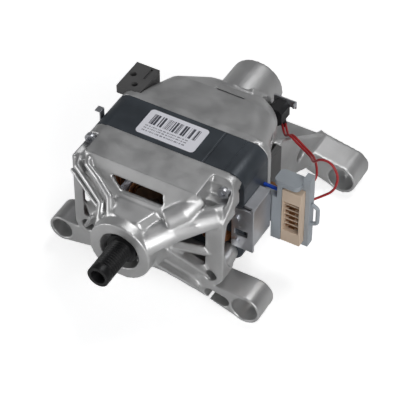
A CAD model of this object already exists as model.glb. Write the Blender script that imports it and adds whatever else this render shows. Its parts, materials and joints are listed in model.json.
import json
import math

import bmesh
import bpy
from mathutils import Matrix, Vector


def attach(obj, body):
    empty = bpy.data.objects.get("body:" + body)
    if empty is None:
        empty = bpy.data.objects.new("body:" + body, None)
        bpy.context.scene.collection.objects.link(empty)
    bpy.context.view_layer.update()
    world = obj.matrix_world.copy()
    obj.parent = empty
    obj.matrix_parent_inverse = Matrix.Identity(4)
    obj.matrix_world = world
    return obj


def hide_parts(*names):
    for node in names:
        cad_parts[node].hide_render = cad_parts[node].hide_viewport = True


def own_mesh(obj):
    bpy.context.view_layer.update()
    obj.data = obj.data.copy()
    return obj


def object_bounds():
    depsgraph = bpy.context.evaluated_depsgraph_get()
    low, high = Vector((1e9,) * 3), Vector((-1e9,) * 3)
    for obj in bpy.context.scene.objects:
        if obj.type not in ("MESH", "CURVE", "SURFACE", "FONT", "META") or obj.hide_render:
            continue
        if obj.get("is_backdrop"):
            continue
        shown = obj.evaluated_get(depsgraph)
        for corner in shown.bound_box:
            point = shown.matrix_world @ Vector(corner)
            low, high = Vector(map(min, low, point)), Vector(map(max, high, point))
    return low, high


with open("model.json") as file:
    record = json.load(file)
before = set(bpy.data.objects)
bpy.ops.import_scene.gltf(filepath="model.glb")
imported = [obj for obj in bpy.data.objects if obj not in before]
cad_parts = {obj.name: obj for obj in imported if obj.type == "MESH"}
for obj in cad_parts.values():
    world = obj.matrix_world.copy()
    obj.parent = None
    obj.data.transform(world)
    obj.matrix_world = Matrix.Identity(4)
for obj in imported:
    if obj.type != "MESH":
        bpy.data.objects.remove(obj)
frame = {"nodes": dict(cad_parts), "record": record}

bl_info = {
    "name": "Washing machine motor",
    "version": (1, 0, 0),
    "blender": (4, 5, 0),
    "location": "View3D > Sidebar > Motor",
    "description": "Castings, windings, finishes and the stage of a washing machine motor",
    "category": "Object",
}

MM = 0.001
CASTINGS = ("front_shield", "rear_shield")

# Width of the rounded edges of these nodes, in millimetres
SOFT_EDGES = {
    "stator_core": 0.5,
    "terminal_housing": 0.6,
    "connector_block": 0.4,
    "side_duct": 0.8,
    "suppressor_block": 0.6,
    "brush_holder_left": 0.5,
    "brush_holder_right": 0.5,
    "tacho_cap": 1.2,
    "through_screws": 0.3,
    "duct_screws": 0.4,
    "insulator_front": 0.4,
    "drive_pulley": 0.15,
    "earth_tab": 0.2,
    "tacho_clip": 0.3,
}
EDGE_STEPS = 2
EDGE_ANGLE = math.radians(40)
MERGE_DISTANCE = 0.01 * MM

# Rounded bars that are melted into the castings: places along each bar and its radii in millimetres,
# then how thick it is in the direction that faces the viewer, as a share of its width
SWELL_SIDES = 20
FACING = Vector((0.349, -0.615, 0.707))
SWELLS = {
    "front_shield": (
        (((18.0, 37.0, 12.5), (31.0, 54.5, 16.5), (44.5, 66.0, 22.0), (57.5, 75.0, 25.5), (62.0, 88.0, 25.0)),
         (10.0, 10.0, 10.0, 8.5, 6.0), 0.6),
        (((27.0, 54.0, 25.5), (37.0, 63.0, 31.5), (43.5, 76.0, 37.5)), (7.5, 7.5, 5.5), 0.55),
        (((-13.0, 40.0, 19.0), (-19.0, 50.0, 29.5), (-33.0, 57.0, 36.5), (-46.0, 63.0, 40.0),
          (-50.0, 72.0, 41.0)), (3.4, 3.1, 2.8, 2.6, 2.4), 1.0),
        (((-21.0, 36.0, 9.0), (-24.5, 47.5, 23.5), (-40.0, 55.5, 28.5), (-57.0, 65.0, 31.5),
          (-61.0, 75.0, 32.0)), (3.4, 3.1, 2.8, 2.8, 2.6), 1.0),
    ),
    "rear_shield": (
        (((-26.0, 198.0, 27.0), (-12.0, 200.5, 30.0), (2.0, 202.0, 31.0), (14.0, 201.0, 30.0),
          (23.0, 198.0, 27.0), (29.0, 194.0, 22.0)), (1.6, 2.0, 2.2, 2.4, 2.4, 1.8), 1.0),
        (((16.0, 203.0, 31.0), (20.0, 208.0, 26.0), (24.0, 216.0, 20.0)), (3.2, 3.0, 2.0), 1.0),
    ),
}

# Plain finishes: colour, metallic, roughness and what else differs
FINISHES = {
    "steel": ((0.52, 0.53, 0.55), 1.0, 0.3, {}),
    "zinc_steel": ((0.56, 0.57, 0.60), 0.9, 0.36, {"bump": 0.15, "bump_scale": 500.0}),
    "black_steel": ((0.014, 0.014, 0.015), 0.5, 0.4, {"tone": 0.2}),
    "copper": ((0.30, 0.12, 0.045), 0.7, 0.35, {"tone": 0.3, "scale": 160.0}),
    "bare_copper": ((0.60, 0.28, 0.16), 1.0, 0.32, {}),
    "winding_tape": ((0.09, 0.045, 0.022), 0.1, 0.6, {"tone": 0.35, "scale": 120.0}),
    "white_plastic": ((0.66, 0.66, 0.72), 0.0, 0.42, {"tone": 0.05}),
    "grey_plastic": ((0.34, 0.37, 0.40), 0.0, 0.42, {"tone": 0.08, "bump": 0.1}),
    "dark_plastic": ((0.085, 0.084, 0.084), 0.0, 0.5, {"bump": 0.15}),
    "cream_plastic": ((0.66, 0.52, 0.40), 0.0, 0.48, {"tone": 0.06}),
    "resin": ((0.045, 0.026, 0.017), 0.0, 0.4, {}),
    "carbon": ((0.02, 0.02, 0.021), 0.2, 0.6, {"bump": 0.3}),
    "black_rubber": ((0.010, 0.010, 0.011), 0.0, 0.5, {"bump": 0.2, "bump_scale": 300.0}),
    "ferrite": ((0.04, 0.04, 0.045), 0.2, 0.5, {}),
    "red_insulation": ((0.42, 0.022, 0.026), 0.0, 0.34, {"tone": 0.1}),
    "blue_insulation": ((0.012, 0.07, 0.48), 0.0, 0.32, {"tone": 0.1}),
    "tin_brass": ((0.30, 0.15, 0.07), 0.8, 0.35, {"tone": 0.3, "scale": 200.0}),
}
TONE_DETAIL = 4.0
GRAIN_DETAIL = 2.0
GRAIN_DEPTH = 0.2 * MM
TONE_SPAN = (0.35, 0.65)

# Cast alloy: how its tone and roughness change; each noise has a scale and a detail
ALLOY_METALLIC = 0.82
ALLOY_ROUGHNESS = 0.42
ALLOY_DARKER = 0.86
ALLOY_LIGHTER = 1.1
ALLOY_TONE = (22.0, 5.0)
ALLOY_TONE_SPAN = (0.36, 0.64)
ALLOY_SPOTS = (75.0, 3.0)
ALLOY_SPOT_SPAN = (0.3, 0.7)
ALLOY_SMOOTHER = 0.07
ALLOY_ROUGHER = 0.08
ALLOY_GRAIN = (1100.0, 3.0)
ALLOY_GRAIN_STRENGTH = 0.35
ALLOY_GRAIN_DEPTH = 0.12 * MM

# Coat of the core, with faint lines between its sheets
COAT_COLOUR = (0.052, 0.062, 0.074)
COAT_DARK = (0.036, 0.043, 0.052)
COAT_LIGHT = (0.066, 0.078, 0.092)
COAT_METALLIC = 0.35
COAT_ROUGHNESS = 0.42
COAT_TONE_SCALE = 26.0
SHEET_SCALE = 320.0
SHEET_WAVER = 0.4
SHEET_STRENGTH = 0.12
SHEET_DEPTH = 0.1 * MM

# Label: millimetres across and along the motor
LABEL_PAPER = (0.80, 0.80, 0.86)
LABEL_INK = (0.05, 0.05, 0.07)
LABEL_ROUGHNESS = 0.45
BARS_ACROSS = (-27.0, 13.5)
BARS_ALONG = (119.5, 131.0)
BAR_SCALE = 560.0
BAR_DETAIL = 1.0
BAR_LEVEL = 0.5
DASHES_ACROSS = (-28.0, 9.0)
DASH_ROWS = ((116.4, 117.6), (113.8, 115.0), (110.8, 112.2))
DASH_SCALE = 900.0
DASH_LEVEL = 0.47
DASH_INK = 0.7

# Wires that geometry nodes bend
WIRE_STEPS = 20
WIRE_SIDES = 10

# Contact springs: first one's middle, their spacing, half width, bow and wire
CONTACT_FIRST = (91.25, 134.0, -20.8)
CONTACT_PITCH = 5.0
CONTACT_HALF_WIDTH = 5.6
CONTACT_BOW = (0.0, -1.5, 3.4)
CONTACT_WIRE = 0.55

# Coils at the rotor's front end: front and rear of their crossing, and half the angle that each spans
BASKET_FRONT = 85.0
BASKET_REAR = 101.0
BASKET_REACH = math.radians(52)
BASKET_WIRE = 1.7

# Stage, in metres: lights as place, size and power in watts, camera, floor and room
STAGE_CENTRE = (0.01, 0.12, 0.0)
LIGHTS = {
    "key": ((1.3, -0.9, 0.9), 1.2, 18.0),
    "top": ((0.2, 0.7, 1.3), 0.6, 6.0),
    "left": ((-1.2, -0.7, 0.5), 0.8, 6.5),
}
CAMERA_PLACE = (0.5679, -0.8487, 1.0985)
CAMERA_RIGHT = (0.8696, 0.4937, 0.0)
CAMERA_BACK = (0.3491, -0.6149, 0.7071)
CAMERA_LENS = 184.1
CAMERA_SENSOR = 36.0
CAMERA_CLIP = (0.05, 20.0)
FLOOR_REACH = 4.0
FLOOR_COLOUR = (0.80, 0.80, 0.80)
FLOOR_ROUGHNESS = 0.9
FLOOR_GLOW = 0.62
ROOM_LOW = (0.62, 0.62, 0.62)
ROOM_HIGH = (0.10, 0.105, 0.115)
ROOM_SPAN = (0.05, 0.75)
ROOM_STRENGTH = 0.5


def node_link(tree, source, target):
    """Join two sockets."""
    tree.links.new(source, target)


def new_surface(name, colour, metallic, roughness):
    """Make a material with one principled shader, and give its tree and shader."""
    material = bpy.data.materials.new("finish_" + name)
    material.use_nodes = True
    material.diffuse_color = (*colour, 1.0)
    tree = material.node_tree
    shader = tree.nodes["Principled BSDF"]
    shader.inputs["Base Color"].default_value = (*colour, 1.0)
    shader.inputs["Metallic"].default_value = metallic
    shader.inputs["Roughness"].default_value = roughness
    return tree, shader


def object_noise(tree, scale, detail):
    """Noise over the object's own coordinates."""
    coords = tree.nodes.new("ShaderNodeTexCoord")
    noise = tree.nodes.new("ShaderNodeTexNoise")
    noise.inputs["Scale"].default_value = scale
    noise.inputs["Detail"].default_value = detail
    node_link(tree, coords.outputs["Object"], noise.inputs["Vector"])
    return noise


def line_noise(tree, line, scale, detail):
    """Noise that changes along one line only."""
    noise = tree.nodes.new("ShaderNodeTexNoise")
    noise.noise_dimensions = "1D"
    noise.inputs["Scale"].default_value = scale
    noise.inputs["Detail"].default_value = detail
    node_link(tree, line, noise.inputs["W"])
    return noise


def add_relief(tree, shader, height, strength, depth):
    """Fine relief on the surface, from a height."""
    relief = tree.nodes.new("ShaderNodeBump")
    relief.inputs["Strength"].default_value = strength
    relief.inputs["Distance"].default_value = depth
    node_link(tree, height, relief.inputs["Height"])
    node_link(tree, relief.outputs["Normal"], shader.inputs["Normal"])


def ramp_between(tree, factor, low, high, start, end):
    """Colour that goes from low to high as the factor goes from start to end."""
    ramp = tree.nodes.new("ShaderNodeValToRGB")
    ramp.color_ramp.elements[0].position = start
    ramp.color_ramp.elements[0].color = (*low, 1.0)
    ramp.color_ramp.elements[1].position = end
    ramp.color_ramp.elements[1].color = (*high, 1.0)
    node_link(tree, factor, ramp.inputs["Fac"])
    return ramp


def worn(name, colour, metallic, roughness, tone=0.12, scale=40.0, bump=0.0, bump_scale=900.0):
    """A finish with a slight change of tone and an optional fine relief."""
    tree, shader = new_surface(name, colour, metallic, roughness)
    noise = object_noise(tree, scale, TONE_DETAIL)
    low = tuple(c * (1.0 - tone) for c in colour)
    high = tuple(min(1.0, c * (1.0 + tone)) for c in colour)
    ramp = ramp_between(tree, noise.outputs["Fac"], low, high, *TONE_SPAN)
    node_link(tree, ramp.outputs["Color"], shader.inputs["Base Color"])
    if bump > 0:
        fine = object_noise(tree, bump_scale, GRAIN_DETAIL)
        add_relief(tree, shader, fine.outputs["Fac"], bump, GRAIN_DEPTH)


def cast_alloy(name, colour):
    """Die-cast alloy: soft tone changes, fine pits, rougher and smoother spots."""
    tree, shader = new_surface(name, colour, ALLOY_METALLIC, ALLOY_ROUGHNESS)
    tone = object_noise(tree, *ALLOY_TONE)
    low = tuple(c * ALLOY_DARKER for c in colour)
    high = tuple(min(1.0, c * ALLOY_LIGHTER) for c in colour)
    ramp = ramp_between(tree, tone.outputs["Fac"], low, high, *ALLOY_TONE_SPAN)
    node_link(tree, ramp.outputs["Color"], shader.inputs["Base Color"])
    spots = object_noise(tree, *ALLOY_SPOTS)
    rough = tree.nodes.new("ShaderNodeMapRange")
    rough.inputs["From Min"].default_value = ALLOY_SPOT_SPAN[0]
    rough.inputs["From Max"].default_value = ALLOY_SPOT_SPAN[1]
    rough.inputs["To Min"].default_value = ALLOY_ROUGHNESS - ALLOY_SMOOTHER
    rough.inputs["To Max"].default_value = ALLOY_ROUGHNESS + ALLOY_ROUGHER
    node_link(tree, spots.outputs["Fac"], rough.inputs["Value"])
    node_link(tree, rough.outputs["Result"], shader.inputs["Roughness"])
    grain = object_noise(tree, *ALLOY_GRAIN)
    add_relief(tree, shader, grain.outputs["Fac"], ALLOY_GRAIN_STRENGTH, ALLOY_GRAIN_DEPTH)


def math_node(tree, operation, first, second=None):
    """One math node whose inputs are sockets or numbers."""
    node = tree.nodes.new("ShaderNodeMath")
    node.operation = operation
    for index, value in enumerate((first, second)):
        if value is None:
            continue
        if isinstance(value, (int, float)):
            node.inputs[index].default_value = value
        else:
            node_link(tree, value, node.inputs[index])
    return node.outputs["Value"]


def band(tree, value, limits):
    """1 where the value lies between two limits in millimetres."""
    above = math_node(tree, "GREATER_THAN", value, limits[0] * MM)
    below = math_node(tree, "LESS_THAN", value, limits[1] * MM)
    return math_node(tree, "MULTIPLY", above, below)


def label_print(name):
    """Pale label with plain bars and rows of small dashes that spell nothing."""
    tree, shader = new_surface(name, LABEL_PAPER, 0.0, LABEL_ROUGHNESS)
    coords = tree.nodes.new("ShaderNodeTexCoord")
    split = tree.nodes.new("ShaderNodeSeparateXYZ")
    node_link(tree, coords.outputs["Object"], split.inputs["Vector"])
    across = split.outputs["X"]
    along = split.outputs["Y"]
    stripes = line_noise(tree, across, BAR_SCALE, BAR_DETAIL)
    bars = math_node(tree, "GREATER_THAN", stripes.outputs["Fac"], BAR_LEVEL)
    bars = math_node(tree, "MULTIPLY", bars, band(tree, across, BARS_ACROSS))
    bars = math_node(tree, "MULTIPLY", bars, band(tree, along, BARS_ALONG))
    dashes = line_noise(tree, across, DASH_SCALE, 0.0)
    marks = math_node(tree, "GREATER_THAN", dashes.outputs["Fac"], DASH_LEVEL)
    rows = band(tree, along, DASH_ROWS[0])
    for limits in DASH_ROWS[1:]:
        rows = math_node(tree, "ADD", rows, band(tree, along, limits))
    marks = math_node(tree, "MULTIPLY", marks, rows)
    marks = math_node(tree, "MULTIPLY", marks, band(tree, across, DASHES_ACROSS))
    ink = math_node(tree, "MAXIMUM", bars, math_node(tree, "MULTIPLY", marks, DASH_INK))
    ramp = ramp_between(tree, ink, LABEL_PAPER, LABEL_INK, 0.0, 1.0)
    node_link(tree, ramp.outputs["Color"], shader.inputs["Base Color"])


def stack_coat(name):
    """Dark coat over stacked sheets, with faint lines between them."""
    tree, shader = new_surface(name, COAT_COLOUR, COAT_METALLIC, COAT_ROUGHNESS)
    coords = tree.nodes.new("ShaderNodeTexCoord")
    wave = tree.nodes.new("ShaderNodeTexWave")
    wave.bands_direction = "Y"
    wave.inputs["Scale"].default_value = SHEET_SCALE
    wave.inputs["Distortion"].default_value = SHEET_WAVER
    node_link(tree, coords.outputs["Object"], wave.inputs["Vector"])
    add_relief(tree, shader, wave.outputs["Fac"], SHEET_STRENGTH, SHEET_DEPTH)
    tone = object_noise(tree, COAT_TONE_SCALE, TONE_DETAIL)
    ramp = ramp_between(tree, tone.outputs["Fac"], COAT_DARK, COAT_LIGHT, *TONE_SPAN)
    node_link(tree, ramp.outputs["Color"], shader.inputs["Base Color"])


def make_materials(alloy_colour):
    """One material for each of the record's slots."""
    cast_alloy("cast_alloy", alloy_colour)
    stack_coat("core_coat")
    label_print("label_paper")
    for name, (colour, metallic, roughness, more) in FINISHES.items():
        worn(name, colour, metallic, roughness, **more)


def finish_of(name):
    """The finish of that slot."""
    return bpy.data.materials["finish_" + name]


def slot_of(node):
    """The record's material slot of a CAD node."""
    for row in frame["record"]["subparts"]:
        if row["node"] == node:
            return row["material_slot"]
    return "cast_alloy"


def link_new(name, mesh):
    """A new object with that mesh, in the scene."""
    piece = bpy.data.objects.new(name, mesh)
    bpy.context.scene.collection.objects.link(piece)
    return piece


def evaluated_mesh(piece):
    """The piece's mesh with its modifiers applied."""
    graph = bpy.context.evaluated_depsgraph_get()
    return bpy.data.meshes.new_from_object(piece.evaluated_get(graph))


def socket_key(modifier, label):
    """The identifier of a modifier's input by its label."""
    for item in modifier.node_group.interface.items_tree:
        if item.item_type == "SOCKET" and item.in_out == "INPUT" and item.name == label:
            return item.identifier
    raise KeyError(label)


def new_tree(name, inputs):
    """An empty geometry node tree with named inputs and one geometry output."""
    tree = bpy.data.node_groups.new(name, "GeometryNodeTree")
    for label, kind, value in inputs:
        made = tree.interface.new_socket(label, in_out="INPUT", socket_type=kind)
        made.default_value = value
    tree.interface.new_socket("Geometry", in_out="OUTPUT", socket_type="NodeSocketGeometry")
    return tree, tree.nodes.new("NodeGroupInput"), tree.nodes.new("NodeGroupOutput")


def wire_inputs(start, middle, end, radius):
    """Named inputs of a tree that bends a wire through three points."""
    return [("Start", "NodeSocketVector", start), ("Middle", "NodeSocketVector", middle),
            ("End", "NodeSocketVector", end), ("Wire radius", "NodeSocketFloat", radius)]


def bent_wire(tree, given):
    """A round wire bent through the three points that the tree is given."""
    curve = tree.nodes.new("GeometryNodeCurveQuadraticBezier")
    curve.inputs["Resolution"].default_value = WIRE_STEPS
    for label in ("Start", "Middle", "End"):
        node_link(tree, given.outputs[label], curve.inputs[label])
    profile = tree.nodes.new("GeometryNodeCurvePrimitiveCircle")
    profile.inputs["Resolution"].default_value = WIRE_SIDES
    node_link(tree, given.outputs["Wire radius"], profile.inputs["Radius"])
    tube = tree.nodes.new("GeometryNodeCurveToMesh")
    tube.inputs["Fill Caps"].default_value = True
    node_link(tree, curve.outputs["Curve"], tube.inputs["Curve"])
    node_link(tree, profile.outputs["Curve"], tube.inputs["Profile Curve"])
    return tube.outputs["Mesh"]


def close_tree(tree, instances, output, material):
    """Realise the instances and give them their material."""
    real = tree.nodes.new("GeometryNodeRealizeInstances")
    paint = tree.nodes.new("GeometryNodeSetMaterial")
    paint.inputs["Material"].default_value = material
    node_link(tree, instances, real.inputs["Geometry"])
    node_link(tree, real.outputs["Geometry"], paint.inputs["Geometry"])
    node_link(tree, paint.outputs["Geometry"], output.inputs["Geometry"])


def basket_tree(count, radius, material):
    """Coils that cross from slot to slot round the rotor's end."""
    flat = radius * math.cos(BASKET_REACH)
    side = radius * math.sin(BASKET_REACH)
    front = BASKET_FRONT * MM
    rear = BASKET_REAR * MM
    sizes = wire_inputs((-side, rear, flat), (0.0, 2 * front - rear, 2 * radius - flat), (side, rear, flat),
                        BASKET_WIRE * MM)
    tree, given, output = new_tree("end_basket", [("Count", "NodeSocketInt", count)] + sizes)
    wire = bent_wire(tree, given)
    points = tree.nodes.new("GeometryNodePoints")
    index = tree.nodes.new("GeometryNodeInputIndex")
    angles = tree.nodes.new("ShaderNodeCombineXYZ")
    place = tree.nodes.new("GeometryNodeInstanceOnPoints")
    share = math_node(tree, "DIVIDE", index.outputs["Index"], given.outputs["Count"])
    node_link(tree, math_node(tree, "MULTIPLY", share, 2 * math.pi), angles.inputs["Y"])
    node_link(tree, given.outputs["Count"], points.inputs["Count"])
    node_link(tree, points.outputs["Points"], place.inputs["Points"])
    node_link(tree, wire, place.inputs["Instance"])
    node_link(tree, angles.outputs["Vector"], place.inputs["Rotation"])
    close_tree(tree, place.outputs["Instances"], output, material)
    return tree


def contact_tree(count, material):
    """One bent contact spring in each cell of the connector."""
    half = CONTACT_HALF_WIDTH * MM
    bow = tuple(value * MM for value in CONTACT_BOW)
    sizes = wire_inputs((-half, 0.0, 0.0), bow, (half, 0.0, 0.0), CONTACT_WIRE * MM)
    sizes.append(("First", "NodeSocketVector", tuple(value * MM for value in CONTACT_FIRST)))
    sizes.append(("Step", "NodeSocketVector", (0.0, 0.0, CONTACT_PITCH * MM)))
    tree, given, output = new_tree("contact_row", [("Count", "NodeSocketInt", count)] + sizes)
    wire = bent_wire(tree, given)
    line = tree.nodes.new("GeometryNodeMeshLine")
    place = tree.nodes.new("GeometryNodeInstanceOnPoints")
    node_link(tree, given.outputs["Count"], line.inputs["Count"])
    node_link(tree, given.outputs["First"], line.inputs["Start Location"])
    node_link(tree, given.outputs["Step"], line.inputs["Offset"])
    node_link(tree, line.outputs["Mesh"], place.inputs["Points"])
    node_link(tree, wire, place.inputs["Instance"])
    close_tree(tree, place.outputs["Instances"], output, material)
    return tree


def grown(name, tree, count, body):
    """Convert what a geometry node tree makes to a plain mesh, as a piece."""
    maker = link_new(name + "_maker", bpy.data.meshes.new(name + "_seed"))
    modifier = maker.modifiers.new("grow", "NODES")
    modifier.node_group = tree
    modifier[socket_key(modifier, "Count")] = count
    bpy.context.view_layer.update()
    mesh = evaluated_mesh(maker)
    bpy.data.objects.remove(maker)
    piece = link_new(name, mesh)
    for polygon in mesh.polygons:
        polygon.use_smooth = True
    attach(piece, body)


def soft_edges(piece, width):
    """Join split corners and round the sharp edges a little."""
    weld = piece.modifiers.new("weld", "WELD")
    weld.merge_threshold = MERGE_DISTANCE
    bevel = piece.modifiers.new("edge", "BEVEL")
    bevel.width = width * MM
    bevel.segments = EDGE_STEPS
    bevel.limit_method = "ANGLE"
    bevel.angle_limit = EDGE_ANGLE
    bevel.harden_normals = False


def add_swell(mesh, places, radii, thickness):
    """Add a bar of changing radius along the places to the mesh, flattened towards the viewer."""
    shape = bmesh.new()
    shape.from_mesh(mesh)
    rows = []
    for index, (place, radius) in enumerate(zip(places, radii)):
        before = Vector(places[max(index - 1, 0)])
        after = Vector(places[min(index + 1, len(places) - 1)])
        turn = (after - before).to_track_quat("Z", "Y")
        row = []
        for k in range(SWELL_SIDES):
            angle = 2 * math.pi * k / SWELL_SIDES
            spoke = turn @ Vector((math.cos(angle), math.sin(angle), 0.0))
            spoke -= FACING * spoke.dot(FACING) * (1.0 - thickness)
            row.append(shape.verts.new((Vector(place) + spoke * radius) * MM))
        rows.append(row)
    for low, high in zip(rows, rows[1:]):
        for k in range(SWELL_SIDES):
            n = (k + 1) % SWELL_SIDES
            shape.faces.new((low[k], low[n], high[n], high[k]))
    shape.faces.new(list(reversed(rows[0])))
    shape.faces.new(rows[-1])
    shape.to_mesh(mesh)
    shape.free()


def merge_corners(mesh):
    """Join the loose triangles of a copied node."""
    shape = bmesh.new()
    shape.from_mesh(mesh)
    bmesh.ops.remove_doubles(shape, verts=shape.verts, dist=MERGE_DISTANCE)
    shape.to_mesh(mesh)
    shape.free()


def cast_copy(node, grid, passes, share):
    """Make the casting with its cast fillets: an even mesh, smoothed, in place of the CAD node."""
    source = frame["nodes"][node]
    piece = link_new(node + "_cast", source.data.copy())
    for places, radii, thickness in SWELLS.get(node, ()):
        add_swell(piece.data, places, radii, thickness)
    weld = piece.modifiers.new("weld", "WELD")
    weld.merge_threshold = MERGE_DISTANCE
    remesh = piece.modifiers.new("even", "REMESH")
    remesh.mode = "VOXEL"
    remesh.voxel_size = grid
    smooth = piece.modifiers.new("soften", "SMOOTH")
    smooth.iterations = passes
    thin = piece.modifiers.new("thin", "DECIMATE")
    thin.ratio = share
    bpy.context.view_layer.update()
    mesh = evaluated_mesh(piece)
    bpy.data.objects.remove(piece)
    piece = link_new(node + "_cast", mesh)
    mesh.materials.clear()
    mesh.materials.append(finish_of("cast_alloy"))
    for polygon in mesh.polygons:
        polygon.use_smooth = True
    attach(piece, "stator")
    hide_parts(node)


class MotorSettings(bpy.types.PropertyGroup):
    """Sizes and colour that a user may change"""
    alloy_colour: bpy.props.FloatVectorProperty(
        name="Alloy", description="Colour of the castings", subtype="COLOR", size=3, min=0.0, max=1.0,
        default=(0.56, 0.56, 0.56))
    casting_grid: bpy.props.FloatProperty(
        name="Casting grid", description="Mesh size of the castings", default=1.0 * MM, unit="LENGTH")
    casting_passes: bpy.props.IntProperty(
        name="Smoothing passes", description="How far the castings' edges are rounded", default=5)
    casting_share: bpy.props.FloatProperty(
        name="Casting share", description="Share of the castings' faces that is kept after smoothing",
        default=0.8, min=0.1, max=1.0)
    basket_count: bpy.props.IntProperty(
        name="End coils", description="Coils that cross at the rotor's front end", default=12)
    basket_radius: bpy.props.FloatProperty(
        name="End coil radius", description="Radius of the coils at the rotor's front end", default=23.6 * MM,
        unit="LENGTH")
    cell_count: bpy.props.IntProperty(
        name="Contacts", description="Contact springs in the connector", default=6)
    spring_anchor: bpy.props.FloatProperty(
        name="Spring seat", description="Fixed end of the brush springs, from the shaft", default=56.0 * MM,
        unit="LENGTH")
    spring_keep: bpy.props.FloatProperty(
        name="Spring share", description="Length that a brush spring keeps when its brush is lifted",
        default=0.44, min=0.1, max=1.0)


class MOTOR_OT_finishes(bpy.types.Operator):
    """Give every CAD node its finish and soft edges"""
    bl_idname = "motor.finishes"
    bl_label = "Motor finishes"

    def execute(self, context):
        make_materials(tuple(context.scene.motor_settings.alloy_colour))
        for name, piece in frame["nodes"].items():
            piece.data.materials.clear()
            piece.data.materials.append(finish_of(slot_of(name)))
            if name in SOFT_EDGES:
                soft_edges(piece, SOFT_EDGES[name])
        return {"FINISHED"}


class MOTOR_OT_castings(bpy.types.Operator):
    """Build both castings with rounded edges"""
    bl_idname = "motor.castings"
    bl_label = "Motor castings"

    def execute(self, context):
        settings = context.scene.motor_settings
        for node in CASTINGS:
            cast_copy(node, settings.casting_grid, settings.casting_passes, settings.casting_share)
        return {"FINISHED"}


class MOTOR_OT_windings(bpy.types.Operator):
    """Build the crossing coils at the front end of the rotor"""
    bl_idname = "motor.windings"
    bl_label = "Motor windings"

    def execute(self, context):
        settings = context.scene.motor_settings
        tree = basket_tree(settings.basket_count, settings.basket_radius, finish_of("copper"))
        grown("end_basket", tree, settings.basket_count, "rotor")
        return {"FINISHED"}


class MOTOR_OT_contacts(bpy.types.Operator):
    """Build the contact springs in the connector"""
    bl_idname = "motor.contacts"
    bl_label = "Motor contacts"

    def execute(self, context):
        settings = context.scene.motor_settings
        tree = contact_tree(settings.cell_count, finish_of("tin_brass"))
        grown("contact_springs", tree, settings.cell_count, "stator")
        return {"FINISHED"}


class MOTOR_OT_springs(bpy.types.Operator):
    """Build the two brush springs, which get shorter as the brushes slide out"""
    bl_idname = "motor.springs"
    bl_label = "Brush springs"

    def execute(self, context):
        for side, sign in (("left", -1), ("right", 1)):
            node = "brush_spring_" + side
            piece = link_new(node + "_coil", frame["nodes"][node].data.copy())
            merge_corners(piece.data)
            for polygon in piece.data.polygons:
                polygon.use_smooth = True
            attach(piece, "stator")
            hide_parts(node)
            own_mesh(piece)
        return {"FINISHED"}


def area_light(name, place, size, power):
    """A soft square light aimed at the middle of the motor."""
    data = bpy.data.lights.new(name, "AREA")
    data.shape = "SQUARE"
    data.size = size
    data.energy = power
    lamp = bpy.data.objects.new(name, data)
    bpy.context.scene.collection.objects.link(lamp)
    lamp.location = place
    lamp.rotation_mode = "QUATERNION"
    lamp.rotation_quaternion = (Vector(STAGE_CENTRE) - Vector(place)).to_track_quat("-Z", "Y")


def white_floor(level):
    """A wide pale floor that keeps the object's shadow."""
    mesh = bpy.data.meshes.new("floor")
    corners = ((-1, -1), (1, -1), (1, 1), (-1, 1))
    mesh.from_pydata([(x * FLOOR_REACH, y * FLOOR_REACH, level) for x, y in corners], [], [(0, 1, 2, 3)])
    floor = link_new("floor", mesh)
    tree, shader = new_surface("floor", FLOOR_COLOUR, 0.0, FLOOR_ROUGHNESS)
    shader.inputs["Specular IOR Level"].default_value = 0.0
    rays = tree.nodes.new("ShaderNodeLightPath")
    shader.inputs["Emission Color"].default_value = (1.0, 1.0, 1.0, 1.0)
    glow = math_node(tree, "MULTIPLY", rays.outputs["Is Camera Ray"], FLOOR_GLOW)
    node_link(tree, glow, shader.inputs["Emission Strength"])
    mesh.materials.append(finish_of("floor"))
    floor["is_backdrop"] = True


def studio_world():
    """An even pale room."""
    world = bpy.data.worlds.new("studio")
    world.use_nodes = True
    tree = world.node_tree
    background = tree.nodes["Background"]
    coords = tree.nodes.new("ShaderNodeTexCoord")
    split = tree.nodes.new("ShaderNodeSeparateXYZ")
    node_link(tree, coords.outputs["Generated"], split.inputs["Vector"])
    ramp = ramp_between(tree, split.outputs["Z"], ROOM_LOW, ROOM_HIGH, *ROOM_SPAN)
    node_link(tree, ramp.outputs["Color"], background.inputs["Color"])
    background.inputs["Strength"].default_value = ROOM_STRENGTH
    bpy.context.scene.world = world


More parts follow.
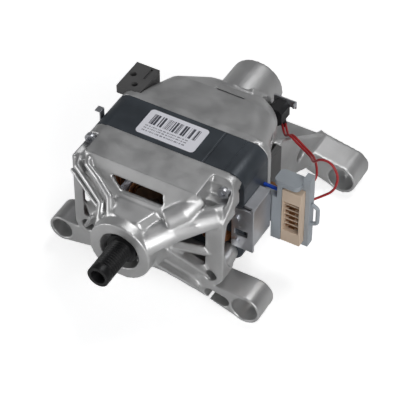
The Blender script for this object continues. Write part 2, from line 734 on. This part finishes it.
def set_camera():
    """The camera that looks down on the pulley end from the right."""
    data = bpy.data.cameras.new("camera")
    data.sensor_width = CAMERA_SENSOR
    data.lens = CAMERA_LENS
    data.clip_start, data.clip_end = CAMERA_CLIP
    camera = bpy.data.objects.new("camera", data)
    bpy.context.scene.collection.objects.link(camera)
    right = Vector(CAMERA_RIGHT).normalized()
    back = Vector(CAMERA_BACK).normalized()
    up = back.cross(right).normalized()
    turn = Matrix((right, up, back)).transposed().to_4x4()
    camera.matrix_world = Matrix.Translation(CAMERA_PLACE) @ turn
    bpy.context.scene.camera = camera


class MOTOR_OT_stage(bpy.types.Operator):
    """Set the floor, lights and camera"""
    bl_idname = "motor.stage"
    bl_label = "Motor stage"

    def execute(self, context):
        scene = context.scene
        scene.view_settings.view_transform = "Standard"
        white_floor(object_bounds()[0].z)
        studio_world()
        for name, (place, size, power) in LIGHTS.items():
            area_light(name, place, size, power)
        set_camera()
        return {"FINISHED"}


class MOTOR_PT_panel(bpy.types.Panel):
    """Settings and builders of the motor"""
    bl_idname = "MOTOR_PT_panel"
    bl_label = "Motor"
    bl_space_type = "VIEW_3D"
    bl_region_type = "UI"
    bl_category = "Motor"

    def draw(self, context):
        settings = context.scene.motor_settings
        for name in SETTING_NAMES:
            self.layout.prop(settings, name)
        for operator in BUILDERS:
            self.layout.operator(operator.bl_idname)


SETTING_NAMES = ("alloy_colour", "casting_grid", "casting_passes", "casting_share", "basket_count",
                 "basket_radius", "cell_count", "spring_anchor", "spring_keep")
BUILDERS = (MOTOR_OT_finishes, MOTOR_OT_castings, MOTOR_OT_windings, MOTOR_OT_contacts, MOTOR_OT_springs,
            MOTOR_OT_stage)
CLASSES = (MotorSettings, *BUILDERS, MOTOR_PT_panel)


def register():
    """Make the settings, builders and panel known."""
    for known in CLASSES:
        bpy.utils.register_class(known)
    bpy.types.Scene.motor_settings = bpy.props.PointerProperty(type=MotorSettings)


def unregister():
    """Take them away again."""
    del bpy.types.Scene.motor_settings
    for known in reversed(CLASSES):
        bpy.utils.unregister_class(known)


def main():
    """Build the motor and its stage."""
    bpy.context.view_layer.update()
    register()
    bpy.ops.motor.finishes()
    bpy.ops.motor.castings()
    bpy.ops.motor.windings()
    bpy.ops.motor.contacts()
    bpy.ops.motor.springs()
    bpy.ops.motor.stage()


if __name__ == "__main__":
    main()
